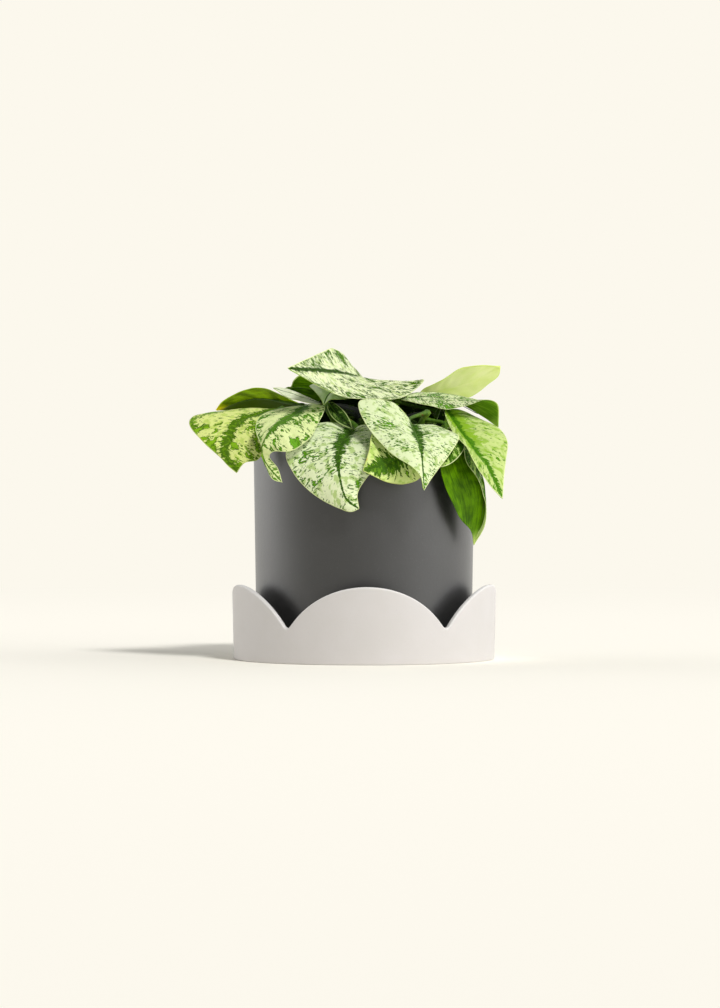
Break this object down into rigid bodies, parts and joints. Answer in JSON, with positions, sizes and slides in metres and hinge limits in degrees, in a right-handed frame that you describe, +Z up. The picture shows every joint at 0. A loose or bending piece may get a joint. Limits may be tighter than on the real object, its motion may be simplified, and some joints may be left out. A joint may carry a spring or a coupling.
{
  "type": "potted satin pothos",
  "caption": "Trailing plant with silver-splashed heart-shaped leaves in a straight-sided matte pot that stands in a scalloped saucer.",
  "frame": {"origin": "centre of the saucer's flat underside, on the surface that it stands on", "axes": "+Z up, -Y the front that faces the viewer, +X to the viewer's right"},
  "size_m": [0.1996, 0.1945, 0.1965],
  "materials": {
    "saucer_glaze": "satin, pale warm grey",
    "pot_glaze": "matte charcoal",
    "potting_mix": "damp, crumbly potting mix, mostly bark and peat",
    "stem": "green vine skin, slightly rough",
    "leaf": "satin green leaf with silvery splashes and a thin pale margin"
  },
  "bodies": {
    "root": {"saucer": "saucer_glaze", "pot": "pot_glaze", "potting_mix": "potting_mix", "vine_middle": "stem", "vine_front": "stem", "vine_front_left": "stem", "vine_front_right": "stem", "vine_right": "stem", "vine_back_right": "stem", "vine_back_left": "stem", "vine_left": "stem", "leaf_top": "leaf", "leaf_upper_right": "leaf", "leaf_right_flat": "leaf", "leaf_right": "leaf", "leaf_front_right": "leaf", "leaf_front": "leaf", "leaf_front_low": "leaf", "leaf_front_left": "leaf", "leaf_left": "leaf", "leaf_upper_left": "leaf", "leaf_upper_left_thin": "leaf", "leaf_under_top": "leaf", "leaf_left_dark": "leaf", "leaf_right_low": "leaf", "leaf_right_small": "leaf", "leaf_back_top": "leaf", "leaf_back_top_left": "leaf", "leaf_back": "leaf", "leaf_back_left": "leaf", "leaf_back_right": "leaf", "leaf_right_back": "leaf", "leaf_left_back": "leaf", "leaf_low_left": "leaf", "leaf_low_right": "leaf", "leaf_inside": "leaf", "leaf_inside_right": "leaf"}
  },
  "joints": []
}
